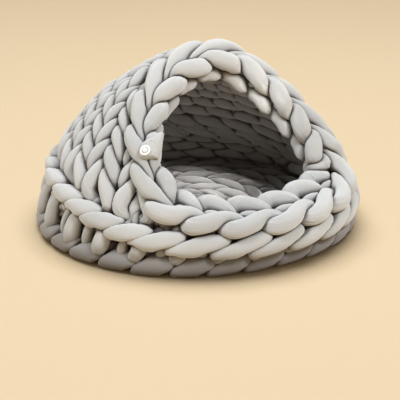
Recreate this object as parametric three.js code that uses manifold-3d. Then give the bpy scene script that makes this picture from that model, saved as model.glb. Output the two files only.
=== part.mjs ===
// A knitted pet house: a round floor, a domed wall with a hood over its back half, and one big
// mouth in front, all worked in one thick stuffed jersey yarn. Millimetres, +Z up. The origin is
// under the middle of the floor and the mouth faces -Y. A heading is an angle in degrees about Z
// that starts at -Y and turns towards +X.
import * as THREE from "three";
import { mergeVertices } from "three/addons/utils/BufferGeometryUtils.js";
import Module from "manifold-3d";

const wasm = await Module();
wasm.setup();

// Driving dimensions
const yarn = 27; // thickness of the stuffed yarn
const domeRadius = 228; // outside of the knit at the foot of the dome
const domeFoot = 32; // height where the wall starts to curve in
const domeTop = 260; // height of the closed top
const wallThickness = 42; // legs in front, loops behind
const seat = 0.3; // parting between pieces that touch
const relief = 9; // depth of the creases between stitches
const legRise = 0.85; // rise of a stitch's leg from its point to its top, in rows

// Floor and its edge ring
const floorHeight = 28;
const floorSag = 4; // the floor's middle lies lower than its edge
const edgeRingRadius = 211;
const edgeStitches = 30;
const floorRounds = 6;
const floorRoundWidth = 26;
const floorStitchLength = 52;

// Lower wall, its proud round of chain, and the sunk rounds beside it
const wallStitches = 28;
const lowerInset = 8;
const sunkInset = 15;
const bandDepth = 1; // from the dome's outside to the outermost yarn of the proud round
const ropeLean = 0.2; // slant of its stitches, in stitches
const bandRise = 17; // from the proud round up to the foot of the hood's stitches
const bandTable = [
  { heading: -180, height: 85 },
  { heading: -142, height: 89 },
  { heading: -104, height: 87 },
  { heading: -84, height: 80 },
  { heading: -72, height: 72 },
  { heading: -61, height: 63 },
  { heading: -50, height: 55 },
  { heading: -38, height: 49 },
  { heading: -24, height: 45 },
  { heading: -10, height: 42 },
  { heading: 30, height: 42 },
  { heading: 65, height: 47 },
  { heading: 105, height: 58 },
  { heading: 145, height: 74 },
];

// Hood
const hoodStitches = 22; // around, below the narrowing
const hoodRows = 9;
const narrowingRow = 5; // from here up two columns of stitches go on as one
const hoodLean = 38; // degrees by which the columns of stitches lean back at the top

// Mouth: the chain round its edge, clockwise as seen from the front. Depth is from the dome's
// outside to the middle of the chain, turn is the degrees its face tips into the mouth, and
// spread is from the middle of the chain to the middle of each leg.
const rimStitches = 18;
const rimTable = [
  { heading: -35, height: 95, depth: 17, turn: 38, spread: 14 },
  { heading: -43, height: 120, depth: 14, turn: 26, spread: 13 },
  { heading: -50, height: 147, depth: 13, turn: 18, spread: 12.5 },
  { heading: -55, height: 171, depth: 13, turn: 13, spread: 12.5 },
  { heading: -57, height: 198, depth: 13, turn: 10, spread: 12.5 },
  { heading: -56, height: 226, depth: 13, turn: 6, spread: 12.5 },
  { heading: -48, height: 245, depth: 13, turn: 3, spread: 12.5 },
  { heading: 0, height: 253, depth: 13, turn: 0, spread: 12.5 },
  { heading: 48, height: 243, depth: 13, turn: 3, spread: 12.5 },
  { heading: 51, height: 221, depth: 13, turn: 6, spread: 12.5 },
  { heading: 53, height: 197, depth: 13, turn: 10, spread: 12.5 },
  { heading: 52, height: 170, depth: 13, turn: 13, spread: 12.5 },
  { heading: 49, height: 145, depth: 14, turn: 18, spread: 12.5 },
  { heading: 47, height: 122, depth: 16, turn: 24, spread: 13 },
  { heading: 46, height: 101, depth: 19, turn: 32, spread: 14 },
  { heading: 41, height: 86, depth: 22, turn: 42, spread: 15 },
  { heading: 25, height: 80, depth: 24, turn: 48, spread: 15.5 },
  { heading: 4, height: 78, depth: 24, turn: 48, spread: 15.5 },
  { heading: -17, height: 82, depth: 22, turn: 46, spread: 15 },
];

// Yarn end and snap on the left of the mouth
const tabHeading = -48.5;
const tabHeight = 152;
const tabLength = 42;
const tabWidth = 31;
const tabThickness = 8;
const tabTurn = 14; // degrees out of the upright
const tabFlat = 10; // half width of the flat middle that the snap grips
const snapAside = -1.5; // from the middle of the tab to the middle of the snap
const snapRingRadius = 8.2;
const snapRingBore = 5;
const snapRingHeight = 1.6;
const snapCapRadius = 4.6;
const snapCapHeight = 3.2;

// Colours
const yarnColour = 0xc9c6c0;
const ringColour = 0xd8d6d0;
const metalColour = 0xc4c6c8;

const radians = THREE.MathUtils.degToRad;
const up = new THREE.Vector3(0, 0, 1);

// Point on the dome, or on the like dome that lies a depth inside it
const domeCurve = 1.45;
const domeFullness = 0.68;
function domePoint(heading, height, depth) {
  const span = domeTop - domeFoot;
  const share = THREE.MathUtils.clamp((height - domeFoot) / span, 0, 1);
  const radius = (domeRadius - depth) * (1 - share ** domeCurve) ** domeFullness;
  const z = Math.min(height, domeFoot) + share * (span - 0.95 * depth);
  const angle = radians(heading);
  return new THREE.Vector3(radius * Math.sin(angle), -radius * Math.cos(angle), z);
}

function domeNormal(heading, height) {
  const step = 0.5;
  const along = domePoint(heading + step, height, 0).sub(domePoint(heading - step, height, 0));
  const rise = domePoint(heading, height + step, 0).sub(domePoint(heading, height - step, 0));
  return along.cross(rise).normalize();
}

// Heights at equal distances along the dome's outline
const outlineSteps = 400;
const outlineHeights = [];
const outlineLengths = [];
for (let i = 0; i <= outlineSteps; i++) {
  const height = domeFoot + (domeTop - domeFoot) * (1 - (1 - i / outlineSteps) ** 2);
  const point = domePoint(0, height, 0);
  const previous = i ? domePoint(0, outlineHeights[i - 1], 0) : point;
  outlineHeights.push(height);
  outlineLengths.push(i ? outlineLengths[i - 1] + point.distanceTo(previous) : 0);
}

function lookUp(from, to, value) {
  let i = 1;
  while (i < from.length - 1 && from[i] < value) i++;
  const share = (value - from[i - 1]) / (from[i] - from[i - 1]);
  return to[i - 1] + share * (to[i] - to[i - 1]);
}

// Height of the proud round at a heading
const bandCurve = bandTable.map((row) => row.height);
function bandHeight(heading) {
  const turned = THREE.MathUtils.euclideanModulo(heading + 180, 360) - 180;
  const next = bandTable.findIndex((row) => row.heading > turned);
  const after = next < 0 ? bandTable.length : next;
  const pick = (i) => bandCurve[(i + bandCurve.length) % bandCurve.length];
  const start = bandTable[after - 1].heading;
  const end = after < bandTable.length ? bandTable[after].heading : 180;
  const share = (turned - start) / (end - start);
  const [a, b, c, d] = [pick(after - 2), pick(after - 1), pick(after), pick(after + 1)];
  const slope = (c - a) / 2;
  const slopeAfter = (d - b) / 2;
  const bend = 3 * (c - b) - 2 * slope - slopeAfter;
  const twist = 2 * (b - c) + slope + slopeAfter;
  return b + share * (slope + share * (bend + share * twist));
}

// Height of a hood row, counted in rows from the foot of the hood's stitches
function hoodHeight(heading, row) {
  const foot = lookUp(outlineHeights, outlineLengths, bandHeight(heading) + bandRise);
  const whole = outlineLengths[outlineSteps];
  return lookUp(outlineLengths, outlineHeights, foot + (whole - foot) * (row / hoodRows));
}

// The hood's columns of stitches lean away from the mouth as they rise
function hoodHeading(heading, height) {
  const share = Math.max(0, (height - 80) / (domeTop - 80));
  return heading + hoodLean * share ** 1.7 * Math.sin(radians(heading));
}

// Triangles between two closed rings of points that may have different counts
function zip(lower, upper, triangles) {
  let i = 0;
  let j = 0;
  while (i < lower.length || j < upper.length) {
    const a = lower[i % lower.length];
    const b = upper[j % upper.length];
    if (j >= upper.length || (i < lower.length && (i + 0.5) / lower.length <= (j + 0.5) / upper.length)) {
      triangles.push(a, lower[(i + 1) % lower.length], b);
      i++;
    } else {
      triangles.push(a, upper[(j + 1) % upper.length], b);
      j++;
    }
  }
}

// Closed solid from a stack of rings, with a point at each end
function stackSolid(first, rings, last) {
  const points = [first];
  const triangles = [];
  const rows = rings.map((ring) => ring.map((point) => points.push(point) - 1));
  points.push(last);
  const bottom = rows[0];
  const top = rows[rows.length - 1];
  bottom.forEach((a, i) => triangles.push(0, bottom[(i + 1) % bottom.length], a));
  for (let i = 1; i < rows.length; i++) zip(rows[i - 1], rows[i], triangles);
  top.forEach((a, i) => triangles.push(points.length - 1, a, top[(i + 1) % top.length]));
  return closedSolid(points, triangles);
}

// Closed tube round a loop from rings of equal counts
function loopSolid(rings) {
  const around = rings[0].length;
  const triangles = [];
  for (let i = 0; i < rings.length; i++) {
    const here = i * around;
    const there = ((i + 1) % rings.length) * around;
    for (let j = 0; j < around; j++) {
      const k = (j + 1) % around;
      triangles.push(here + j, here + k, there + k);
      triangles.push(here + j, there + k, there + j);
    }
  }
  return closedSolid(rings.flat(), triangles);
}

// Solid for joining and cutting, its faces turned outward
function closedSolid(points, triangles) {
  const volume = triangles.reduce((sum, a, i) => {
    if (i % 3) return sum;
    const [p, q, r] = [points[a], points[triangles[i + 1]], points[triangles[i + 2]]];
    return sum + p.dot(q.clone().cross(r));
  }, 0);
  const turned = volume < 0 ? triangles.slice().reverse() : triangles;
  const vertProperties = new Float32Array(points.flatMap((point) => [point.x, point.y, point.z]));
  const triVerts = new Uint32Array(turned);
  return new wasm.Manifold(new wasm.Mesh({ numProp: 3, vertProperties, triVerts }));
}

function solidOf(geometry) {
  const bare = geometry.deleteAttribute("uv").deleteAttribute("normal");
  const merged = mergeVertices(bare);
  const vertProperties = merged.attributes.position.array;
  const triVerts = new Uint32Array(merged.index.array);
  return new wasm.Manifold(new wasm.Mesh({ numProp: 3, vertProperties, triVerts }));
}

function meshOf(name, solid, material) {
  const mesh = solid.getMesh();
  const geometry = new THREE.BufferGeometry();
  geometry.setAttribute("position", new THREE.BufferAttribute(mesh.vertProperties, 3));
  geometry.setIndex(new THREE.BufferAttribute(mesh.triVerts, 1));
  geometry.computeVertexNormals();
  const result = new THREE.Mesh(geometry, material);
  result.name = name;
  return result;
}

// How full a stitch's leg is along its length, 0 in a crease and 1 on its back
const fullness = [0, 0.95, 0.95];

// Floor: one round of slanted stitches at the edge, and rounds of them inside
function floorSolid() {
  const columns = edgeStitches * 4;
  const ring = (radius, height, lean, crease) =>
    Array.from({ length: columns }, (_, i) => {
      const full = i % 4 ? 0 : 1;
      const angle = radians((360 * (i + lean)) / columns);
      const r = radius - full * crease;
      return new THREE.Vector3(r * Math.sin(angle), -r * Math.cos(angle), height);
    });
  const half = floorHeight / 2;
  const rings = [ring(edgeRingRadius - 6, 0, -1.5, 0)];
  for (const turn of [-50, -20, 10, 40]) {
    const out = half * Math.cos(radians(turn));
    const height = half * (1 + Math.sin(radians(turn)));
    rings.push(ring(edgeRingRadius + out, height, turn / 40, 5 * Math.cos(radians(turn))));
  }
  rings.push(ring(edgeRingRadius, floorHeight, 1.5, 0));
  rings.push(ring(domeRadius - wallThickness, floorHeight, 1.5, 0));
  const start = domeRadius - wallThickness - 4;
  for (let round = 0; round < floorRounds; round++) {
    const outer = start - round * floorRoundWidth;
    const middle = outer - floorRoundWidth / 2;
    const stitches = Math.max(5, Math.round((2 * Math.PI * middle) / floorStitchLength));
    for (const across of [0.02, 0.3, 0.7]) {
      const crest = across > 0.1 ? 1 : 0;
      const turnedWay = round % 2 ? -1 : 1;
      rings.push(
        Array.from({ length: stitches * 3 }, (_, i) => {
          const full = crest * (i % 3 ? 1 : 0.35);
          const sag = floorSag * (1 - (middle / start) ** 2);
          const height = floorHeight - 1 - sag - relief * 0.8 * (1 - full);
          const angle = radians((120 * (i + turnedWay * across * 1.6)) / stitches);
          const radius = outer - across * floorRoundWidth;
          return new THREE.Vector3(radius * Math.sin(angle), -radius * Math.cos(angle), height);
        }),
      );
    }
  }
  const middleTop = new THREE.Vector3(0, 0, floorHeight - 2 - floorSag);
  return stackSolid(new THREE.Vector3(0, 0, 0), rings, middleTop);
}

// Lower wall: upright bars of yarn, the proud round as a rope of slanted stitches, and the sunk
// bars over it
function lowerRings() {
  const columns = wallStitches * 3;
  const pitch = 360 / wallStitches;
  const barCrease = [relief, 0, relief * 0.25];
  const ropeRadius = yarn / 2 - 0.5;
  const ring = (heightOf, inset, deep) =>
    Array.from({ length: columns }, (_, i) => {
      const heading = (360 * (i + 1)) / columns - 180;
      return domePoint(heading, heightOf(heading), inset + deep * barCrease[i % 3]);
    });
  const ropeRing = (turn) =>
    Array.from({ length: columns }, (_, i) => {
      const [cos, sin] = [Math.cos(radians(turn)), Math.sin(radians(turn))];
      const heading = (360 * (i + 1)) / columns - 180 + ropeLean * sin * pitch;
      const radius = ropeRadius * (i % 3 === 2 ? 0.64 : 1);
      const depth = bandDepth + ropeRadius - radius * cos;
      return domePoint(heading, bandHeight(heading) + radius * sin, depth);
    });
  const foot = floorHeight + seat;
  return [
    ring(() => foot, lowerInset + 4, 0),
    ring(() => foot + 4, lowerInset, 1),
    ring((heading) => (foot + bandHeight(heading) - ropeRadius) / 2 + 1, lowerInset - 1, 1),
    ...[-70, -28, 14, 56].map(ropeRing),
    ring((heading) => bandHeight(heading) + ropeRadius, sunkInset, 0.5),
    ring((heading) => bandHeight(heading) + bandRise - 1, sunkInset, 0.7),
  ];
}

// Hood: columns of nested stitches, each a pair of legs that part as they rise
function hoodRings() {
  const ring = (stitches, start, full, inset) =>
    Array.from({ length: stitches * 6 }, (_, i) => {
      const across = 1 - Math.abs(((i + 3) % 6) - 3) / 3;
      const heading = (360 * i) / (stitches * 6) - 180;
      const level = Math.min(start + legRise * (across - 0.5) + 0.4, hoodRows - 0.25);
      const height = hoodHeight(heading, level);
      const leg = across < 0.1 || across > 0.9 ? 0.1 : 1;
      return domePoint(hoodHeading(heading, height), height, inset + relief * (1 - leg * full));
    });
  const rings = [ring(hoodStitches, -0.05, 0, sunkInset - relief)];
  for (let row = 0; row < hoodRows; row++) {
    const stitches = row < narrowingRow ? hoodStitches : hoodStitches / 2;
    for (let part = 0; part < fullness.length; part++) {
      if (row === hoodRows - 1 && part > 1) continue;
      rings.push(ring(stitches, row + part / fullness.length, fullness[part], 0));
    }
  }
  return rings;
}

function outsideSolid() {
  const foot = new THREE.Vector3(0, 0, floorHeight + seat);
  const top = domePoint(0, domeTop, relief / 2);
  return stackSolid(foot, [...lowerRings(), ...hoodRings()], top);
}

// Inside of the wall: the backs of the loops show as rows of short arcs, each row set half a
// stitch on from the one below
function insideSolid() {
  const below = floorHeight - 10;
  const rows = hoodRows * 2;
  const rings = [];
  const ringAt = (height, row, stitches) =>
    Array.from({ length: stitches * 2 }, (_, i) => {
      const arc = (i + (row >> 1)) % 2 ? 0.3 : 0;
      const groove = row % 2 ? 1 : arc;
      const heading = (180 * i) / stitches - 180;
      return domePoint(heading, height, wallThickness - relief * 0.7 * groove);
    });
  rings.push(ringAt(below, 0, hoodStitches));
  for (let row = 0; row < rows; row++) {
    const share = row / (rows + 0.6);
    const length = share * (outlineLengths[outlineSteps] + domeFoot - floorHeight);
    const height = length < 4 ? floorHeight + 4 : lookUp(outlineLengths, outlineHeights, length);
    const stitches = row < rows - 6 ? hoodStitches : hoodStitches / 2;
    rings.push(ringAt(height, row, stitches));
  }
  return stackSolid(new THREE.Vector3(0, 0, below), rings, domePoint(0, domeTop, wallThickness));
}

// Chain round the mouth: two legs side by side over a back bar
const rimCurve = new THREE.CatmullRomCurve3(
  rimTable.map((row) => domePoint(row.heading, row.height, row.depth)),
  true,
  "centripetal",
);

// Outward direction of the dome beside a point of the chain
function rimNormal(origin, depth) {
  const heading = THREE.MathUtils.radToDeg(Math.atan2(origin.x, -origin.y));
  return domeNormal(heading, Math.min(origin.z + depth * 0.8, domeTop - 3));
}

function rimFrame(share) {
  const place = THREE.MathUtils.euclideanModulo(share, 1);
  const origin = rimCurve.getPointAt(place);
  const along = rimCurve.getTangentAt(place);
  const parameter = rimCurve.getUtoTmapping(place) * rimTable.length;
  const row = rimTable[Math.floor(parameter) % rimTable.length];
  const next = rimTable[(Math.floor(parameter) + 1) % rimTable.length];
  const between = (name) => THREE.MathUtils.lerp(row[name], next[name], parameter % 1);
  const normal = rimNormal(origin, between("depth"));
  normal.addScaledVector(along, -normal.dot(along)).normalize();
  const inward = along.clone().cross(normal);
  const face = normal.clone().multiplyScalar(Math.cos(radians(between("turn"))));
  face.addScaledVector(inward, Math.sin(radians(between("turn"))));
  return { origin, along, face, across: along.clone().cross(face), spread: between("spread") };
}

// Each stitch is thin where it starts, in the crease, and fullest past its middle
const rimFullness = [0.66, 0.96, 1];
const rimAngles = [0, 32, 60, 90, 120, 148, 180, 228, 270, 312];
function rimSolid() {
  const parts = rimFullness.length;
  const leg = yarn / 2;
  const reach = (turn, spread) => {
    const [cos, sin] = [Math.cos(turn), Math.sin(turn)];
    const lobes = [
      { across: -spread, out: 0 },
      { across: spread, out: 0 },
      { across: 0, out: -leg * 0.7 },
    ];
    const lengths = lobes.map((lobe) => {
      const ahead = lobe.across * cos + lobe.out * sin;
      const aside = lobe.across * sin - lobe.out * cos;
      return Math.abs(aside) < leg ? ahead + Math.sqrt(leg * leg - aside * aside) : 0;
    });
    return Math.max(4, ...lengths);
  };
  const rings = [];
  for (let i = 0; i < rimStitches * parts; i++) {
    const start = i / (rimStitches * parts);
    const spread = rimFrame(start).spread;
    rings.push(
      rimAngles.map((angle) => {
        const length = rimFullness[i % parts] * reach(radians(angle), spread);
        const across = length * Math.cos(radians(angle));
        const out = length * Math.sin(radians(angle));
        const frame = rimFrame(start + (0.8 * Math.abs(across)) / (2 * leg) / rimStitches);
        return frame.origin.addScaledVector(frame.across, across).addScaledVector(frame.face, out);
      }),
    );
  }
  return loopSolid(rings);
}

// What the mouth takes out of the dome, from inside the house to well outside it
function mouthSolid() {
  const steps = 40;
  const cleared = 90;
  const rings = [-cleared, cleared].map((way) =>
    Array.from({ length: steps }, (_, i) => {
      const origin = rimCurve.getPointAt(i / steps);
      return origin.addScaledVector(rimNormal(origin.clone(), 15), way * (way < 0 ? 0.7 : 1));
    }),
  );
  const middle = (ring, way) => {
    const sum = ring.reduce((total, point) => total.add(point), new THREE.Vector3());
    return sum.divideScalar(steps).addScaledVector(new THREE.Vector3(0, -0.8, 0.6), way);
  };
  return stackSolid(middle(rings[0], 0), rings, middle(rings[1], cleared));
}

// Snap and flattened yarn end, placed on the outside of the chain beside the mouth
function tabFrame() {
  const normal = domeNormal(tabHeading, tabHeight);
  const frame = new THREE.Matrix4();
  const side = up.clone().cross(normal).normalize();
  const lengthwise = normal.clone().cross(side);
  frame.makeBasis(side, lengthwise, normal);
  frame.multiply(new THREE.Matrix4().makeRotationZ(radians(tabTurn)));
  return frame.setPosition(domePoint(tabHeading, tabHeight, 0));
}

// The flattened end is narrower where it is sewn down. It fits the yarn under it, parted from it
// by a little more than the seat.
function tabSolid(body) {
  const sections = 10;
  const around = 12;
  const frame = tabFrame();
  const rings = [];
  for (let i = 1; i < sections; i++) {
    const share = (2 * i) / sections - 1;
    const plump = Math.sqrt(1 - share ** 4);
    const width = (tabWidth / 2) * plump * (1 - 0.18 * share);
    const bow = -9 * Math.max(0, Math.abs(share) - 0.45);
    rings.push(
      Array.from({ length: around }, (_, j) => {
        const turn = radians((360 * j) / around);
        const x = width * Math.cos(turn);
        const drop = -8 * Math.max(0, (Math.abs(x) - tabFlat) / tabFlat);
        const z = bow + drop + (tabThickness / 2) * plump * Math.sin(turn);
        return new THREE.Vector3(x, (share * tabLength) / 2, z).applyMatrix4(frame);
      }),
    );
  }
  const end = (way) => new THREE.Vector3(0, (way * tabLength) / 2, -6).applyMatrix4(frame);
  const whole = stackSolid(end(-1), rings, end(1));
  const near = new THREE.BoxGeometry(2 * tabLength, 2 * tabLength, 2 * tabLength);
  const under = solidOf(near.applyMatrix4(frame)).intersect(body);
  const ways = [0, 60, 120, 180, 240, 300].map(radians);
  const shifts = ways.map((way) => new THREE.Vector3(Math.cos(way), Math.sin(way), 0.6));
  shifts.push(up.clone().multiplyScalar(1.2));
  const turned = new THREE.Matrix3().setFromMatrix4(frame);
  const parted = shifts.reduce((rest, shift) => {
    const moved = shift.multiplyScalar(1.3 * seat).applyMatrix3(turned);
    return rest.subtract(under.translate(moved.toArray()));
  }, whole.subtract(under));
  return parted.simplify(seat / 4);
}

function turnedSolid(profile) {
  const steps = 24;
  const inner = profile[0][0] > 0;
  const ring = ([radius, height]) =>
    Array.from({ length: steps }, (_, i) => {
      const turn = radians((360 * i) / steps);
      return new THREE.Vector3(radius * Math.cos(turn), radius * Math.sin(turn), height);
    });
  if (inner) {
    const rings = Array.from({ length: steps }, (_, i) => profile.map((pair) => ring(pair)[i]));
    return loopSolid(rings);
  }
  const first = new THREE.Vector3(0, 0, profile[0][1]);
  const last = new THREE.Vector3(0, 0, profile[profile.length - 1][1]);
  return stackSolid(first, profile.slice(1, -1).map(ring), last);
}

function ringSolid() {
  const middle = (snapRingRadius + snapRingBore) / 2;
  return turnedSolid([
    [snapRingBore, 0],
    [snapRingRadius, 0],
    [snapRingRadius, snapRingHeight * 0.5],
    [middle + 0.8, snapRingHeight],
    [middle - 0.8, snapRingHeight],
    [snapRingBore, snapRingHeight * 0.5],
  ]);
}

function capSolid() {
  return turnedSolid([
    [0, 0],
    [snapCapRadius, 0],
    [snapCapRadius, snapCapHeight * 0.3],
    [snapCapRadius * 0.87, snapCapHeight * 0.66],
    [snapCapRadius * 0.5, snapCapHeight * 0.93],
    [0, snapCapHeight],
  ]);
}

const yarnCloth = new THREE.MeshStandardMaterial({ color: yarnColour, roughness: 0.9, metalness: 0 });
const paleRing = new THREE.MeshStandardMaterial({ color: ringColour, roughness: 0.4, metalness: 0.3 });
const brightMetal = new THREE.MeshStandardMaterial({ color: metalColour, roughness: 0.2, metalness: 1 });

const shell = outsideSolid().subtract(insideSolid()).subtract(mouthSolid());
const body = shell.add(rimSolid());

const house = new THREE.Group();
house.add(meshOf("knit_floor", floorSolid(), yarnCloth));
house.add(meshOf("knit_wall_and_hood", body, yarnCloth));
const tab = meshOf("yarn_end_tab", tabSolid(body), yarnCloth);
house.add(tab);

// The snap's pieces stand on the tab's outer face
const snapPlace = new THREE.Group();
snapPlace.applyMatrix4(tabFrame());
snapPlace.translateX(snapAside);
snapPlace.translateZ(tabThickness / 2 + seat);
snapPlace.add(meshOf("snap_ring", ringSolid(), paleRing));
snapPlace.add(meshOf("snap_cap", capSolid(), brightMetal));
house.add(snapPlace);

export default house;
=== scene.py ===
import math

import bpy
import numpy as np
from mathutils import Matrix, Vector


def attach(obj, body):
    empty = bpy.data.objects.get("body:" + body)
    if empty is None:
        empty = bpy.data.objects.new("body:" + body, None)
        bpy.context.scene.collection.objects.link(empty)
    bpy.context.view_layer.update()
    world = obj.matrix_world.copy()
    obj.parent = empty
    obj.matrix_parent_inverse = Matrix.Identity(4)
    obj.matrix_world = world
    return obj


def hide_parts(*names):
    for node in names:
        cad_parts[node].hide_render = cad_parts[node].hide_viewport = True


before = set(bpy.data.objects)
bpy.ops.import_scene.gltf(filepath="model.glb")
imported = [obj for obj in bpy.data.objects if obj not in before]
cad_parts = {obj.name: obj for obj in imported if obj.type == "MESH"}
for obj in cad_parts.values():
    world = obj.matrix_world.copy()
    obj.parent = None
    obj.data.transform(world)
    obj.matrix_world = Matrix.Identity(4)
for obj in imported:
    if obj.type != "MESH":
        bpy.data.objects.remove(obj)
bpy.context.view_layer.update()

# Floor
# The floor is knitted flat in rounds from the middle out, of a thick soft yarn: a grey jersey tube
# stuffed with wadding. Its last round is an edge ring of stout stitches, on which the wall stands.
# Sizes are in millimetres; a heading is in degrees about the upright middle, from -Y towards +X.

millimetre = 0.001
usual_yarn = 12.5


def unit(vectors):
    """The same directions, each of length one."""
    return vectors / np.maximum(np.linalg.norm(vectors, axis=-1, keepdims=True), 1e-9)


def strand(points, radius, facing, closed=False, slant=0.0, seed=0.0):
    """A run of yarn: middle line, radius, the way its outer side faces, and slant of its ends."""
    count = len(points)
    return {
        "points": np.asarray(points, float),
        "radius": np.broadcast_to(np.asarray(radius, float), (count,)).copy(),
        "facing": np.broadcast_to(np.asarray(facing, float), (count, 3)).copy(),
        "closed": closed,
        "slant": slant,
        "seed": seed,
    }


def slope(values, closed):
    """Change for each step along a run, carried round where the run is closed."""
    if closed:
        return (np.roll(values, -1, 0) - np.roll(values, 1, 0)) / 2.0
    return np.gradient(values, axis=0)


def ring_frames(run):
    """Directions along, beside and out of the yarn, length along it, and length of each step."""
    middle, closed = run["points"], run["closed"]
    tangent = unit(slope(middle, closed))
    side = unit(np.cross(tangent, run["facing"]))
    step = np.linalg.norm(np.roll(middle, -1, 0) - middle, axis=1)
    length = np.concatenate([[0.0], np.cumsum(step[:-1])])
    return tangent, side, np.cross(side, tangent), length, step


def pressed(strands, against, around):
    """Reach of each section where the yarn is squeezed by the yarn beside it."""
    fullness = 5.5
    looked_round, own_length = 30.0, 30.0
    clearance, least_share, touching = 0.40, 0.34, 1.25
    most_beside, rows_at_once = 18, 400
    never_near, never_tight = 9.0, 1e6
    turn = np.arange(around) * (2.0 * np.pi / around)
    every = list(strands) + list(against)
    middles = np.concatenate([run["points"] for run in every])
    thick = np.concatenate([run["radius"] for run in every])
    owner = np.concatenate([np.full(len(run["points"]), k) for k, run in enumerate(every)])
    place = np.concatenate([ring_frames(run)[3] for run in every])
    reaches = []
    for k, run in enumerate(strands):
        side, out, length, step = ring_frames(run)[1:]
        count = len(run["points"])
        whole = length[-1] + step[-1]
        low = run["points"].min(0) - looked_round
        high = run["points"].max(0) + looked_round
        near = np.nonzero(((middles > low) & (middles < high)).all(1))[0]
        reach = np.zeros((count, around))
        for start in range(0, count, rows_at_once):
            rows = slice(start, min(start + rows_at_once, count))
            centre = run["points"][rows]
            radius = run["radius"][rows]
            away = middles[near][None] - centre[:, None]
            distance = np.linalg.norm(away, axis=2)
            along = np.abs(length[rows][:, None] - place[near][None])
            if run["closed"]:
                along = np.minimum(along, whole - along)
            own = (owner[near][None] == k) & (along < own_length)
            ratio = distance / (radius[:, None] + thick[near][None])
            ratio = np.where(own, never_near, ratio)
            kept = min(most_beside, ratio.shape[1] - 1)
            pick = np.argpartition(ratio, kept, axis=1)[:, :kept]
            close = np.take_along_axis(ratio, pick, 1)
            gap = np.take_along_axis(distance, pick, 1)
            heading = np.take_along_axis(away, pick[..., None], 1) / np.maximum(gap, 1e-6)[..., None]
            share = radius[:, None] / (radius[:, None] + thick[near][pick])
            limit = np.maximum(gap * share - clearance, least_share * radius[:, None])
            limit = np.where(close < touching, limit, never_tight)
            ray = np.cos(turn)[None, :, None] * side[rows][:, None]
            ray = ray + np.sin(turn)[None, :, None] * out[rows][:, None]
            facing = np.einsum("raj,rkj->rak", ray, heading)
            squeeze = np.max(np.maximum(facing, 0.0) / limit[:, None, :], axis=2)
            free = 1.0 / radius[:, None]
            reach[rows] = (free**fullness + squeeze**fullness) ** (-1.0 / fullness)
        if run["closed"]:
            smooth = 0.5 * reach + 0.25 * (np.roll(reach, 1, 0) + np.roll(reach, -1, 0))
        else:
            smooth = reach.copy()
            smooth[1:-1] = 0.5 * reach[1:-1] + 0.25 * (reach[:-2] + reach[2:])
        smooth = 0.6 * smooth + 0.2 * (np.roll(smooth, 1, 1) + np.roll(smooth, -1, 1))
        reaches.append(smooth)
    return reaches


def bell(offset, width):
    """One at no offset, falling away over a width."""
    return np.exp(-((offset / width) ** 2))


def lengthwise_folds(run, length, turn, pinch):
    """Depth of two folds that wander along the yarn, deepest where it is pinched."""
    fold_width, least_depth, pinched_depth = 0.30, 0.018, 0.050
    folded = 0.0
    for number, wander in enumerate((31.0, 47.0)):
        sway = 0.7 * np.sin(length / wander + run["seed"] * (19.0 + 11.0 * number))
        valley = 1.1 + 0.9 * number + sway
        off = np.angle(np.exp(1j * (turn[None, :] - valley[:, None])))
        folded = folded + bell(off, fold_width)
    return folded * (least_depth + pinched_depth * pinch[:, None])


def yarn_skin(run, reach, turn):
    """Skin of one run: its points, how far each section is pinched, how far each point is pressed."""
    middle, radius, closed = run["points"], run["radius"], run["closed"]
    tangent, side, out, length = ring_frames(run)[:4]
    spacing = np.maximum(np.linalg.norm(slope(middle, closed), axis=1), 1e-6)
    bend = np.linalg.norm(slope(tangent, closed), axis=1) / spacing * radius
    narrow = 1.0 - radius / radius.max()
    pinch = np.clip(0.9 * bend - 0.15, 0.0, 1.0) * 0.6 + np.clip(3.0 * narrow, 0.0, 1.0) * 0.6
    pinch = np.clip(pinch, 0.0, 1.0)
    # How far each point is pressed; the jersey paints this as shade in the creases
    crease = np.clip(1.0 - reach / radius[:, None], 0.0, 1.0)
    pleat = np.sin(5.0 * turn[None, :] + run["seed"] * 9.0 + 0.02 * length[:, None])
    pleat += 0.6 * np.sin(8.0 * turn[None, :] - run["seed"] * 5.0)
    swell = 1.0 + 0.018 * np.sin(length / 17.0 + run["seed"] * 7.0)[:, None]
    folded = lengthwise_folds(run, length, turn, pinch)
    reach = reach * (swell + 0.022 * pinch[:, None] * pleat - folded)
    ring = middle[:, None, :]
    ring = ring + (reach * np.cos(turn))[..., None] * side[:, None, :]
    ring = ring - run["slant"] * (reach * np.cos(turn))[..., None] * tangent[:, None, :]
    ring = ring + (reach * np.sin(turn))[..., None] * out[:, None, :]
    return ring.reshape(-1, 3), pinch, crease


def skin_faces(run, around, start):
    """Corners of the faces between the sections of a run, and their places on the jersey."""
    pattern_shift = 900.0
    count = len(run["points"])
    length, step = ring_frames(run)[3:]
    rows = count if run["closed"] else count - 1
    i, j = np.meshgrid(np.arange(rows), np.arange(around), indexing="ij")
    i_next, j_next = (i + 1) % count, (j + 1) % around
    corner = start + i * around
    corner_next = start + i_next * around
    quad = np.stack([corner + j, corner + j_next, corner_next + j_next, corner_next + j], -1)
    u, u_next = length[i], length[i] + step[i]
    v, v_next = j / around, (j + 1) / around
    uv = np.stack([u, v, u, v_next, u_next, v_next, u_next, v], -1).reshape(-1, 4, 2)
    uv = uv[:, ::-1].reshape(-1, 2) + [run["seed"] * pattern_shift, 0.0]
    return quad.reshape(-1, 4)[:, ::-1], uv


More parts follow.
